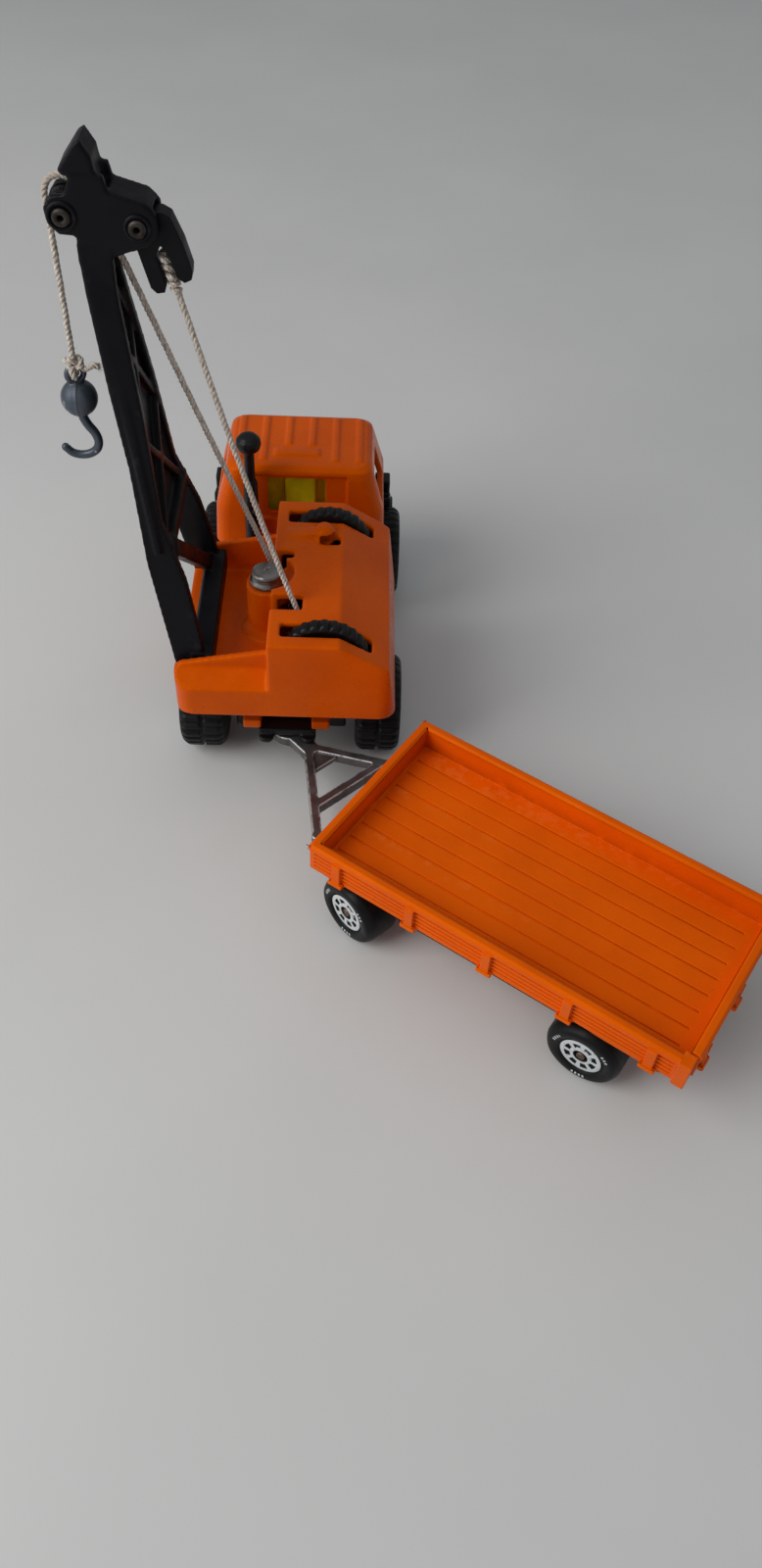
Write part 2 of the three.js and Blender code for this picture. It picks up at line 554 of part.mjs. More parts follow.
function buildHook() {
  const { x, ballZ, ballR, eyeR, wireR, eyeWireR } = HOOK;
  const y = SLEW.y;
  const eyeZ = ballZ + ballR + eyeR + 0.2;
  const eye = new THREE.TorusGeometry(eyeR, eyeWireR, 8, 16).rotateX(Math.PI / 2)
    .rotateZ(0.5).translate(x, y, eyeZ);
  const hookLine = [[x, y, ballZ - ballR + 0.6], [x + 0.4, y, 78.4], [x + 2, y, 76], [x + 2.3, y, 73.6],
    [x + 0.6, y, 71.6], [x - 2, y, 71.2], [x - 4.2, y, 72.6]];
  return combine([ball(ballR, x, y, ballZ), eye, bar(hookLine, wireR, 8, 16)]);
}

// ---------- where the front bogie turns under the trailer ----------
const BOGIE_U = 14;
const BED_MID = BED.width / 2;
const PIVOT = (() => {
  const [cos, sin] = [Math.cos(BED.yaw), Math.sin(BED.yaw)];
  const dx = BED.x + BOGIE_U * cos - BED_MID * sin - HITCH.x;
  const dy = BED.y + BOGIE_U * sin + BED_MID * cos - HITCH.y;
  return { length: Math.hypot(dx, dy), angle: Math.atan2(dy, dx), pinR: 1.5, pinBottom: 9.4 };
})();

// ---------- drawbar and front bogie (local frame: X runs from the hitch to the bogie pivot) ----------
function buildDrawbar() {
  const d = DRAWBAR;
  const pivot = PIVOT.length;
  const strip = (a, b, width) => {
    const length = Math.hypot(b[0] - a[0], b[1] - a[1]);
    const [nx, ny] = [(-(b[1] - a[1]) / length) * (width / 2), ((b[0] - a[0]) / length) * (width / 2)];
    return prismZ([
      [a[0] + nx, a[1] + ny], [a[0] - nx, a[1] - ny], [b[0] - nx, b[1] - ny], [b[0] + nx, b[1] + ny],
    ], d.bottom, d.top);
  };
  const added = [
    rod('z', HITCH.eyeOuter, d.bottom, d.top, 28),
    strip([2, 0], [d.apex + 1, 0], 4),
    rod('z', 2, d.bottom, d.top, 16).translate(d.apex, 0, 0),
    prismZ([[d.apex, -1.2], [d.apex, 1.2], [13.4, 4.4], [13.4, -4.4]], d.bottom + 0.8, d.top - 0.5),
    strip([21.3, -9.6], [21.3, 9.6], d.arm),
    prismZ([[34, -11.6], [52, -11.6], [52, 11.6], [34, 11.6]], d.bottom + 0.2, d.top),
    box(pivot - 2.8, pivot + 2.8, -12.4, 12.4, TRAILER.wheelR - 2.2, d.top),
    rod('z', 8.4, d.top - 0.5, BED.bottom - 2.6 - GAP, 32).translate(pivot, 0, 0),
  ];
  for (const s of [-1, 1]) {
    added.push(strip([d.apex, s * 0.4], [d.elbowS, s * d.elbowT], d.arm));
    added.push(rod('z', 1.3, d.bottom, d.top, 14).translate(d.elbowS, s * d.elbowT, 0));
    added.push(strip([d.elbowS, s * d.elbowT], [36, s * 10.4], d.arm));
  }
  return combine(added, [
    rod('z', HITCH.eyeR, 0, 20, 20),
    rod('y', TRAILER.axleR + GAP, -15, 15, 16).translate(pivot, 0, TRAILER.wheelR),
    rod('z', PIVOT.pinR + GAP, PIVOT.pinBottom - GAP, 20, 20).translate(pivot, 0, 0),
  ]);
}

// ---------- trailer (local frame: X from front to rear, Y from the near side to the far side) ----------
// bevelled bar round the top of the front and side walls
function bedRim() {
  const { length, width, top, rimOut } = BED;
  const { rimZ, rimBevel, thickness } = BED_WALL;
  const ring = (out, back, z) => [width / 2 + out, -out, back, z];
  const outer = loft([
    ring(rimOut, length, rimZ), ring(rimOut, length, top - rimBevel), ring(rimOut - rimBevel, length, top),
  ], 0.9);
  const inner = loft([
    ring(-thickness, length + 5, rimZ - 1), ring(-thickness, length + 5, top - rimBevel),
    ring(rimBevel - thickness, length + 5, top), ring(rimBevel - thickness, length + 5, top + 1),
  ], 0.4);
  return combine([outer], [inner]).rotateZ(-Math.PI / 2).translate(0, width / 2, 0);
}

function buildBed() {
  const { length, width, top, bottom, floor, rimOut } = BED;
  const t = BED_WALL.thickness;
  const postU = length - TAILGATE.post;
  const added = [
    box(0, length, 0, width, bottom, floor),
    box(0, length, 0, t, bottom, top - 0.5),
    box(0, length, width - t, width, bottom, top - 0.5),
    box(0, t, 0, width, bottom, top - 0.5),
    bedRim(),
    box(postU, length, -0.7, TAILGATE.post, bottom, top),
    box(postU, length, width - TAILGATE.post, width + 0.7, bottom, top),
  ];
  const brackets = [];
  const { half, knuckleR, knuckleHalf } = BRACKETS;
  for (const u of BRACKETS.along) {
    for (const v of [0, width]) {
      const knuckleV = v + (v > 0 ? 0.6 : -0.6);
      brackets.push(box(u - half, u + half, v - 0.8, v + 0.8, bottom - 0.2, BED_WALL.rimZ + 0.2));
      const knuckle = rod('x', knuckleR, u - knuckleHalf, u + knuckleHalf, 10);
      brackets.push(knuckle.translate(0, knuckleV, bottom + 0.3));
    }
  }
  const planks = 9;
  const plankStep = (width - 2 * t) / planks;
  const grooves = [];
  for (let i = 1; i < planks; i += 1) {
    const v = t + i * plankStep;
    grooves.push(box(t + 0.6, length - 4, v - 0.2, v + 0.2, floor - 0.4, floor + 1));
  }
  for (const z of PLANK_Z) {
    grooves.push(box(1.2, length - 3, -0.4, 0.5, z, z + 0.45));
    grooves.push(box(1.2, length - 3, width - 0.5, width + 0.4, z, z + 0.45));
  }
  const gateEdge = TAILGATE.post - 0.1;
  const gateRoom = box(TAILGATE.hingeU - 1.2, length + 2, gateEdge, width - gateEdge, bottom - 1, top + 1);
  return combine([combine(added, [...grooves, gateRoom]), ...brackets]);
}

function buildTailgate() {
  const { width, top, bottom } = BED;
  const v0 = TAILGATE.post + GAP;
  const v1 = width - TAILGATE.post - GAP;
  const u0 = TAILGATE.hingeU - 0.8;
  const bevel = BED_WALL.rimBevel;
  const [rimIn, rimOutside] = [u0 - 0.5, u0 + TAILGATE.thickness + 0.3];
  const added = [
    box(u0, u0 + TAILGATE.thickness, v0, v1, bottom + 0.1, top - 0.6),
    prismY([
      [rimIn, BED_WALL.rimZ], [rimOutside, BED_WALL.rimZ], [rimOutside, top - bevel],
      [rimOutside - bevel, top],
      [rimIn + bevel, top], [rimIn, top - bevel],
    ], v0, v1),
  ];
  const brackets = [];
  for (const v of [6, BED_MID, width - 6]) {
    const outside = u0 + TAILGATE.thickness;
    brackets.push(box(u0 + 1, outside + 0.6, v - BRACKETS.half, v + BRACKETS.half, bottom + 0.4, top - 1));
    brackets.push(rod('y', BRACKETS.knuckleR, v - BRACKETS.knuckleHalf, v + BRACKETS.knuckleHalf, 10)
      .translate(outside + 0.5, 0, bottom + 0.8));
  }
  const grooves = PLANK_Z.map((z) => box(u0 + TAILGATE.thickness - 0.4, u0 + 4, v0 + 1, v1 - 1, z, z + 0.45));
  return combine([combine(added, grooves), ...brackets]);
}

function buildTrailerBase() {
  const top = BED.bottom - GAP;
  const z = TRAILER.wheelR;
  return combine([
    box(3, 79, BED_MID - 8, BED_MID + 8, top - 2, top),
    box(TRAILER.rearU - 3, TRAILER.rearU + 3, BED_MID - 12.4, BED_MID + 12.4, z - 2.2, top),
    rod('z', 10, top - 2.2, top, 32).translate(BOGIE_U, BED_MID, 0),
    rod('z', PIVOT.pinR, PIVOT.pinBottom, top, 20).translate(BOGIE_U, BED_MID, 0),
  ], [
    rod('y', TRAILER.axleR + GAP, 0, 50, 16).translate(TRAILER.rearU, 0, z),
  ]);
}

// ---------- assembly ----------
const truck = new THREE.Group();
truck.name = 'crane_truck';
truck.add(paint('chassis_frame', buildFrame()));
truck.add(plastic('base_plate', buildBasePlate()));
truck.add(paint('cab_shell', buildCab()));
truck.add(piece('cab_interior', buildInterior(), COLOURS.yellow, 0.45, 0));
truck.add(plastic('intake_stack', buildStack()));
for (const [prefix, y] of [['truck_rear', 0], ['truck_front', TRUCK.wheelbase]]) {
  const axle = new THREE.Group();
  axle.position.set(0, y, TRUCK.wheelR);
  addAxle(axle, prefix, TRUCK, 28);
  truck.add(axle);
}
truck.add(paint('upper_casting', buildUpperCasting()));
truck.add(plastic('upper_base', buildUpperBase()));
truck.add(steel('upper_rivet', buildUpperRivet()));
truck.add(steel('winch_shaft', rod('y', WINCH.shaftR, -22.4, 22.4, 16).translate(WINCH.x, SLEW.y, WINCH.z)));
for (const [name, s] of [['luff_thumbwheel', -1], ['hoist_thumbwheel', 1]]) {
  const wheel = plastic(name, buildThumbWheel(-s));
  wheel.position.set(WINCH.x, SLEW.y + s * WINCH.offset, WINCH.z);
  truck.add(wheel);
}
truck.add(plastic('jib_frame', buildJib()));
truck.add(steel('jib_hinge_pin', buildJibPin()));
truck.add(plastic('head_pulley', buildPulley()));
truck.add(steel('pulley_pin', buildHeadPin(PULLEY)));
truck.add(steel('link_pin', buildHeadPin(LINK)));
truck.add(plastic('luff_link', buildLink()));
truck.add(cord('luff_rope', bar(LUFF_ROPE, ROPE_R, 8, 28)));
truck.add(cord('hoist_rope_run', bar(HOIST_RUN, ROPE_R, 8, 36)));
truck.add(cord('hoist_rope_fall', bar(HOIST_FALL, ROPE_R, 8, 8)));
truck.add(piece('load_hook', buildHook(), COLOURS.hook, 0.4, 0.6));

const drawbar = new THREE.Group();
drawbar.name = 'drawbar_group';
drawbar.position.set(HITCH.x, HITCH.y, 0);
drawbar.rotation.z = PIVOT.angle;
drawbar.add(piece('drawbar_bogie', buildDrawbar(), COLOURS.zinc, 0.45, 0.8));
const frontAxle = new THREE.Group();
frontAxle.position.set(PIVOT.length, 0, TRAILER.wheelR);
frontAxle.rotation.z = Math.PI / 2;
addAxle(frontAxle, 'trailer_front', TRAILER, 24);
drawbar.add(frontAxle);

const trailer = new THREE.Group();
trailer.name = 'trailer_group';
trailer.position.set(BED.x, BED.y, 0);
trailer.rotation.z = BED.yaw;
trailer.add(paint('trailer_bed', buildBed()));
trailer.add(paint('trailer_tailgate', buildTailgate()));
trailer.add(plastic('trailer_base', buildTrailerBase()));
const rearAxle = new THREE.Group();
rearAxle.position.set(TRAILER.rearU, BED_MID, TRAILER.wheelR);
rearAxle.rotation.z = Math.PI / 2;
addAxle(rearAxle, 'trailer_rear', TRAILER, 24);
trailer.add(rearAxle);

const root = new THREE.Group();
root.name = 'crane_truck_and_trailer';
const inner = new THREE.Group();
inner.add(truck, drawbar, trailer);
root.add(inner);
root.updateMatrixWorld(true);
const bounds = new THREE.Box3().setFromObject(root, true);
inner.position.set(-(bounds.min.x + bounds.max.x) / 2, -(bounds.min.y + bounds.max.y) / 2, -bounds.min.z);
root.updateMatrixWorld(true);

export default root;
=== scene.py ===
"""Looks of a die-cast toy mobile crane towing a drop-side trailer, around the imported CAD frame.

Lengths written in millimetres are in the truck's own frame: X to its right, Y forwards, Z up from the
floor, with the origin under the middle of its rear axle. place() turns them into metres in the row frame.
"""
import json
import math
import random

import bpy
from mathutils import Matrix, Vector


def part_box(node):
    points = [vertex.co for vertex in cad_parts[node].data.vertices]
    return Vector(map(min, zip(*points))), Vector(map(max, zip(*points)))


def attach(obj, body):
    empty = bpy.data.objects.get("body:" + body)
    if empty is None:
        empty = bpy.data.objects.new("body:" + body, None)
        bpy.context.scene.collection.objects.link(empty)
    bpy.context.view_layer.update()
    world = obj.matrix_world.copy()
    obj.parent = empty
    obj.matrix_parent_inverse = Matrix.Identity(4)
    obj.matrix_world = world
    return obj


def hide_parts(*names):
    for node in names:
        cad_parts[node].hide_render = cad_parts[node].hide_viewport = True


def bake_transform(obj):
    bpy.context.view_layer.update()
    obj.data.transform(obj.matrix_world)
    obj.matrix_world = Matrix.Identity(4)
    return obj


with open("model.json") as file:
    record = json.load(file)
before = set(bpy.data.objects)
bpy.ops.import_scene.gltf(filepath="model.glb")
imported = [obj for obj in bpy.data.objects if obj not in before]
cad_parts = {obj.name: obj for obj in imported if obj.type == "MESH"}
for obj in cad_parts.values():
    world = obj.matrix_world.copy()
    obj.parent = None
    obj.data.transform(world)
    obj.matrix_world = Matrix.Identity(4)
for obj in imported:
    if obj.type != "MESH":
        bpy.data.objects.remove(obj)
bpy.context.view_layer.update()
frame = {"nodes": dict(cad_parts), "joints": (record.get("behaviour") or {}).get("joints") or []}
MM = 0.001


def middle(node):
    low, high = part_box(node)
    return (low + high) / 2


AXLE = middle("truck_rear_axle_rod")
ORIGIN = Vector((AXLE.x, AXLE.y, 0))
JOINTS = {j["name"]: j for j in frame["joints"]}


def place(x, y, z):
    return Vector((x, y, z)) * MM + ORIGIN


# ---------- camera ----------
LENS, SENSOR = 27.75, 36
CAMERA_AT = (13.4406, -196.9165, 213.4831)
YAW, PITCH, ROLL = -0.0427, 0.8664, 0.0599


def make_camera():
    forward = Vector((-math.sin(YAW) * math.cos(PITCH), math.cos(YAW) * math.cos(PITCH), -math.sin(PITCH)))
    level = Vector((math.cos(YAW), math.sin(YAW), 0))
    upright = level.cross(forward)
    right = level * math.cos(ROLL) + upright * math.sin(ROLL)
    up = upright * math.cos(ROLL) - level * math.sin(ROLL)
    data = bpy.data.cameras.new("camera")
    data.lens, data.sensor_width = LENS, SENSOR
    data.clip_start, data.clip_end = 0.005, 20
    camera = bpy.data.objects.new("camera", data)
    bpy.context.scene.collection.objects.link(camera)
    turn = Matrix((right, up, -forward)).transposed().to_4x4()
    camera.matrix_world = Matrix.Translation(place(*CAMERA_AT)) @ turn
    bpy.context.scene.camera = camera


make_camera()


# ---------- material kit ----------
class Nodes:
    """A node material with a Principled shader and short names for the nodes used here."""

    def __init__(self, name, roughness=0.4, **sockets):
        self.material = bpy.data.materials.new(name)
        self.material.use_nodes = True
        self.tree = self.material.node_tree
        self.shader = self.tree.nodes["Principled BSDF"]
        self.shader.inputs["Roughness"].default_value = roughness
        for key, value in sockets.items():
            self.shader.inputs[key.replace("_", " ")].default_value = value
        self.point = self.tree.nodes.new("ShaderNodeTexCoord").outputs["Object"]

    def link(self, out, to):
        self.tree.links.new(out, to)

    def noise(self, scale, detail=3.0, rough=0.55, stretch=None):
        node = self.tree.nodes.new("ShaderNodeTexNoise")
        node.inputs["Scale"].default_value = scale
        node.inputs["Detail"].default_value = detail
        node.inputs["Roughness"].default_value = rough
        source = self.point
        if stretch:
            mapping = self.tree.nodes.new("ShaderNodeMapping")
            mapping.inputs["Scale"].default_value = stretch
            self.link(source, mapping.inputs["Vector"])
            source = mapping.outputs["Vector"]
        self.link(source, node.inputs["Vector"])
        return node.outputs["Fac"]

    def spread(self, value, low, high, to_low=0.0, to_high=1.0):
        node = self.tree.nodes.new("ShaderNodeMapRange")
        node.interpolation_type = "SMOOTHSTEP"
        for key, number in (("From Min", low), ("From Max", high), ("To Min", to_low), ("To Max", to_high)):
            node.inputs[key].default_value = number
        self.link(value, node.inputs["Value"])
        return node.outputs["Result"]

    def times(self, a, b):
        node = self.tree.nodes.new("ShaderNodeMath")
        node.operation = "MULTIPLY"
        self.link(a, node.inputs[0])
        if isinstance(b, (int, float)):
            node.inputs[1].default_value = b
        else:
            self.link(b, node.inputs[1])
        return node.outputs["Value"]

    def mix(self, factor, a, b):
        node = self.tree.nodes.new("ShaderNodeMix")
        node.data_type = "RGBA"
        self.link(factor, node.inputs["Factor"])
        for socket, colour in ((node.inputs[6], a), (node.inputs[7], b)):
            if isinstance(colour, tuple):
                socket.default_value = (*colour, 1)
            else:
                self.link(colour, socket)
        return node.outputs[2]

    def edges(self, low, high):
        """Close to 1 along convex edges, or along hollow ones when high is below low."""
        geometry = self.tree.nodes.new("ShaderNodeNewGeometry")
        return self.spread(geometry.outputs["Pointiness"], low, high)

    def colour(self, value):
        self.link(value, self.shader.inputs["Base Color"])

    def roughness(self, value):
        self.link(value, self.shader.inputs["Roughness"])

    def bump(self, *layers):
        """layers are (height, strength, distance in metres)."""
        last = None
        for height, strength, distance in layers:
            node = self.tree.nodes.new("ShaderNodeBump")
            node.inputs["Strength"].default_value = strength
            node.inputs["Distance"].default_value = distance
            self.link(height, node.inputs["Height"])
            if last:
                self.link(last, node.inputs["Normal"])
            last = node.outputs["Normal"]
        self.link(last, self.shader.inputs["Normal"])


def orange_paint(name, base, shade, wear_and_highlight_amount, gloss):
    m = Nodes(name, roughness=gloss, Specular_IOR_Level=0.32, Specular_Tint=(1, 0.42, 0.06, 1))
    cloud = m.spread(m.noise(55, 4), 0.32, 0.68)
    body = m.mix(cloud, shade, base)
    speck = m.times(m.spread(m.noise(1500, 2), 0.68, 0.76), m.spread(m.noise(90, 2), 0.42, 0.6))
    body = m.mix(m.times(speck, 0.55), body, (0.18, 0.035, 0.006))
    dust = m.times(m.spread(m.noise(2200, 3), 0.6, 0.72), 0.16)
    body = m.mix(dust, body, (0.9, 0.26, 0.06))
    # painted shade: darker orange in the hollows and inside corners
    painted_hollow_shade = m.times(m.edges(0.485, 0.44), m.spread(m.noise(300, 3), 0.2, 0.5))
    body = m.mix(m.times(painted_hollow_shade, 0.55), body, (0.2, 0.03, 0.002))
    # lighter orange along convex edges: partly rubbed paint, partly painted highlight
    edge_rub_and_highlight = m.times(m.edges(0.53, 0.6), m.spread(m.noise(420, 5, 0.7), 0.5, 0.56))
    body = m.mix(m.times(edge_rub_and_highlight, wear_and_highlight_amount), body, (0.95, 0.27, 0.06))
    chip = m.times(m.edges(0.55, 0.6), m.spread(m.noise(260, 6, 0.75), 0.635, 0.65))
    body = m.mix(m.times(chip, min(1.0, wear_and_highlight_amount * 2.2)), body, (0.09, 0.04, 0.03))
    m.colour(body)
    m.roughness(m.spread(m.noise(160, 4), 0.3, 0.7, gloss - 0.07, gloss + 0.12))
    m.bump((m.noise(480, 2), 0.35, 0.00012), (m.noise(2600, 3), 0.25, 0.00003))
    return m.material


def moulded_plastic(name, base, light, roughness, scratch=0.35, specular=0.5):
    m = Nodes(name, roughness=roughness, Specular_IOR_Level=specular)
    cloud = m.spread(m.noise(120, 4), 0.35, 0.7)
    body = m.mix(cloud, base, tuple(1.35 * c for c in base))
    scuff = m.times(m.spread(m.noise(900, 4, 0.6, (0.25, 1, 0.12)), 0.62, 0.72), scratch)
    body = m.mix(scuff, body, light)
    edge_rub_and_highlight = m.times(m.edges(0.53, 0.62), m.spread(m.noise(300, 4), 0.42, 0.6))
    body = m.mix(m.times(edge_rub_and_highlight, 0.5), body, light)
    m.colour(body)
    m.roughness(m.spread(m.noise(200, 4), 0.3, 0.7, roughness - 0.08, roughness + 0.12))
    m.bump((m.noise(700, 3), 0.3, 0.00006), (m.noise(3500, 2), 0.3, 0.00002))
    return m.material


def worn_metal(name, base, dark, bright, roughness, metallic, edge=(0.52, 0.58), stain=0.7):
    m = Nodes(name, roughness=roughness, Metallic=metallic)
    cloud = m.spread(m.noise(130, 6, 0.65), 0.36, 0.62)
    body = m.mix(m.times(cloud, stain), base, dark)
    edge_rub_and_highlight = m.times(m.edges(*edge), m.spread(m.noise(240, 5, 0.65), 0.36, 0.5))
    body = m.mix(edge_rub_and_highlight, body, bright)
    m.colour(body)
    m.roughness(m.spread(m.noise(300, 5), 0.3, 0.7, roughness - 0.1, roughness + 0.18))
    m.bump((m.noise(600, 5), 0.4, 0.00008), (m.noise(3000, 2), 0.3, 0.00002))
    return m.material


def yellow_plastic():
    m = Nodes("yellow_plastic", roughness=0.38, Specular_IOR_Level=0.4)
    m.colour(m.mix(m.spread(m.noise(160, 4), 0.35, 0.65), (0.52, 0.5, 0.003), (0.74, 0.73, 0.006)))
    m.roughness(m.spread(m.noise(400, 3), 0.3, 0.7, 0.3, 0.5))
    m.bump((m.noise(900, 3), 0.25, 0.00004))
    return m.material


def printed_white():
    m = Nodes("hub_print", roughness=0.5, Specular_IOR_Level=0.35)
    worn = m.spread(m.noise(1300, 5, 0.7), 0.6, 0.66)
    m.colour(m.mix(worn, (0.66, 0.7, 0.72), (0.05, 0.052, 0.056)))
    m.bump((m.noise(2500, 3), 0.3, 0.00002))
    return m.material


def twine():
    m = Nodes("twine", roughness=0.88, Specular_IOR_Level=0.2, Sheen_Weight=0.25)
    strand = m.noise(2600, 4, 0.65, (1, 1, 0.22))
    body = m.mix(m.spread(strand, 0.3, 0.7), (0.36, 0.29, 0.24), (0.88, 0.81, 0.72))
    body = m.mix(m.spread(m.noise(70, 3), 0.4, 0.65), body, (0.5, 0.42, 0.36))
    m.colour(body)
    m.bump((strand, 0.7, 0.00008))
    return m.material


PAINT = orange_paint("crane_paint", (0.76, 0.103, 0.0003), (0.66, 0.083, 0.0003), 0.35, 0.28)
BED_PAINT = orange_paint("trailer_paint", (0.92, 0.128, 0.0003), (0.82, 0.108, 0.0003), 0.2, 0.42)
JIB_BLACK = moulded_plastic("jib_plastic", (0.0038, 0.0038, 0.0055), (0.04, 0.045, 0.06), 0.4, 0.15, 0.15)
BLACK = moulded_plastic("black_plastic", (0.0055, 0.0055, 0.0065), (0.045, 0.045, 0.05), 0.36, 0.2, 0.26)
TYRE = moulded_plastic("tyre_plastic", (0.0052, 0.0052, 0.006), (0.04, 0.04, 0.045), 0.44, 0.12, 0.2)
STEEL = worn_metal("rivet_steel", (0.36, 0.35, 0.34), (0.17, 0.15, 0.14), (0.6, 0.6, 0.6), 0.3, 0.9)
PIN_STEEL = worn_metal("pin_steel", (0.028, 0.022, 0.019), (0.014, 0.011, 0.01), (0.07, 0.06, 0.052),
                       0.48, 0.55)
AXLE_STEEL = worn_metal("axle_steel", (0.2, 0.12, 0.085), (0.09, 0.045, 0.03), (0.38, 0.3, 0.26), 0.45, 0.8)
ZINC = worn_metal("tarnished_zinc", (0.2, 0.19, 0.195), (0.09, 0.08, 0.08), (0.7, 0.7, 0.7), 0.36, 0.75,
                  (0.508, 0.535))
HOOK_PAINT = worn_metal("hook_metal", (0.1, 0.12, 0.15), (0.05, 0.062, 0.084), (0.3, 0.32, 0.36), 0.33, 0.5)
YELLOW = yellow_plastic()
PRINT = printed_white()
TWINE = twine()


def paint(node, material):
    obj = frame["nodes"][node]
    obj.data.materials.clear()
    obj.data.materials.append(material)
    return obj


def add_mesh(name, points, faces, materials, face_slots=None, smooth=True):
    mesh = bpy.data.meshes.new(name)
    mesh.from_pydata([tuple(p) for p in points], [], faces)
    for material in materials:
        mesh.materials.append(material)
    if face_slots:
        mesh.polygons.foreach_set("material_index", face_slots)
    mesh.polygons.foreach_set("use_smooth", [smooth] * len(mesh.polygons))
    mesh.update()
    obj = bpy.data.objects.new(name, mesh)
    bpy.context.scene.collection.objects.link(obj)
    return obj


# ---------- ropes ----------
ROPE_R = 0.6 * MM
SLEW_Y = 7.4
HOOK_X, BALL_Z = -39.5, 83.8
LUFF_ROUTE = [(-20.7, SLEW_Y, 112.8), (-19.5, SLEW_Y, 108), (-9.1, 1.6, 74), (2.2, -3, 40), (7.6, -3.6, 27.4)]
HOIST_ROUTE = [
    (-0.4, 13.2, 26.8), (-4.4, 12.5, 40.4), (-16.7, 10, 77), (-28.7, 7.7, 113), (-31.4, SLEW_Y, 119.4),
    (-33.4, SLEW_Y, 122.6), (-35.8, SLEW_Y, 124.9), (-38.2, SLEW_Y, 124.6), (HOOK_X, SLEW_Y, 122.4),
    (HOOK_X, SLEW_Y, 119.8),
]
FALL_ROUTE = [
    (HOOK_X, SLEW_Y, 119.6), (HOOK_X, SLEW_Y, 112), (HOOK_X, SLEW_Y, 104), (HOOK_X, SLEW_Y, 97),
    (HOOK_X, SLEW_Y, 91.6),
]


def smooth_line(route, step=0.25 * MM):
    """Points along a centripetal Catmull-Rom curve through the route, all in metres."""
    points = [Vector(p) for p in route]
    points = [points[0] * 2 - points[1], *points, points[-1] * 2 - points[-2]]
    line = []
    for p0, p1, p2, p3 in zip(points, points[1:], points[2:], points[3:]):
        t0 = 0.0
        t1 = t0 + math.sqrt((p1 - p0).length)
        t2 = t1 + math.sqrt((p2 - p1).length)
        t3 = t2 + math.sqrt((p3 - p2).length)
        count = max(2, round((p2 - p1).length / step))
        for i in range(count):
            t = t1 + (t2 - t1) * i / count
            a1 = p0 * ((t1 - t) / (t1 - t0)) + p1 * ((t - t0) / (t1 - t0))
            a2 = p1 * ((t2 - t) / (t2 - t1)) + p2 * ((t - t1) / (t2 - t1))
            a3 = p2 * ((t3 - t) / (t3 - t2)) + p3 * ((t - t2) / (t3 - t2))
            b1 = a1 * ((t2 - t) / (t2 - t0)) + a2 * ((t - t0) / (t2 - t0))
            b2 = a2 * ((t3 - t) / (t3 - t1)) + a3 * ((t - t1) / (t3 - t1))
            line.append(b1 * ((t2 - t) / (t2 - t1)) + b2 * ((t - t1) / (t2 - t1)))
    line.append(points[-2])
    return line


def directions(line):
    """(tangent, side, other side) at each point, carried along without twisting."""
    tangents = [(b - a).normalized() for a, b in zip([line[0], *line[:-1]], [*line[1:], line[-1]])]
    tangents[0] = (line[1] - line[0]).normalized()
    tangents[-1] = (line[-1] - line[-2]).normalized()
    side = tangents[0].orthogonal().normalized()
    frames = []
    for tangent in tangents:
        side = (side - tangent * side.dot(tangent)).normalized()
        frames.append((tangent, side, tangent.cross(side)))
    return frames


def add_tube(points, faces, line, radii, sides):
    """Adds a closed tube along the line, with a radius at each point, to the lists."""
    start = len(points)
    for p, radius, (_, a, b) in zip(line, radii, directions(line)):
        for k in range(sides):
            angle = 2 * math.pi * k / sides
            points.append(p + (a * math.cos(angle) + b * math.sin(angle)) * radius)
    rows = len(line)
    for i in range(rows - 1):
        for k in range(sides):
            n = (k + 1) % sides
            faces.append((start + i * sides + k, start + i * sides + n,
                          start + (i + 1) * sides + n, start + (i + 1) * sides + k))
    faces.append(tuple(start + k for k in reversed(range(sides))))
    faces.append(tuple(start + (rows - 1) * sides + k for k in range(sides)))


def rope_mesh(name, line, radius, seed, lay=3.1 * MM, fibres_per_mm=0.5):
    """Three strands laid round each other along the line, with loose fibres."""
    rng = random.Random(seed)
    points, faces = [], []
    frames = directions(line)
    travelled = [0.0]
    for a, b in zip(line, line[1:]):
        travelled.append(travelled[-1] + (b - a).length)
    for strand in range(3):
        path = []
        for p, s, (_, a, b) in zip(line, travelled, frames):
            angle = 2 * math.pi * (s / lay + strand / 3)
            path.append(p + (a * math.cos(angle) + b * math.sin(angle)) * radius * 0.5)
        swell = [radius * (0.52 + 0.04 * math.sin(s / MM * 0.9 + strand * 2)) for s in travelled]
        add_tube(points, faces, path, swell, 8)
    for _ in range(int(travelled[-1] / MM * fibres_per_mm)):
        i = rng.randrange(2, len(line) - 2)
        tangent, a, b = frames[i]
        angle = rng.uniform(0, 2 * math.pi)
        out = a * math.cos(angle) + b * math.sin(angle)
        reach = rng.uniform(0.3, 1.1) * MM
        lean = tangent * rng.uniform(-0.9, 0.9)
        root = line[i] + out * radius * 0.8
        fibre = [root, root + (out * 0.5 + lean * 0.5) * reach, root + (out * 0.7 + lean * 1.1) * reach]
        add_tube(points, faces, fibre, [0.022 * MM, 0.018 * MM, 0.008 * MM], 3)
    return add_mesh(name, points, faces, [TWINE])


def route_line(route):
    return smooth_line([place(*p) for p in route])


def length_of(line):
    return sum((b - a).length for a, b in zip(line, line[1:]))


luff_line = route_line(LUFF_ROUTE)
luff = rope_mesh("luff_twine", luff_line, ROPE_R, 1)
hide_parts("luff_rope")
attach(luff, "luff_line")
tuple(luff_line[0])
length_of(luff_line)

hoist_line = route_line(HOIST_ROUTE)
hoist = rope_mesh("hoist_twine_run", hoist_line, ROPE_R, 2)
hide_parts("hoist_rope_run")
place(HOOK_X, SLEW_Y, 120)
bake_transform(hoist)
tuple(hoist_line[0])
length_of(hoist_line)


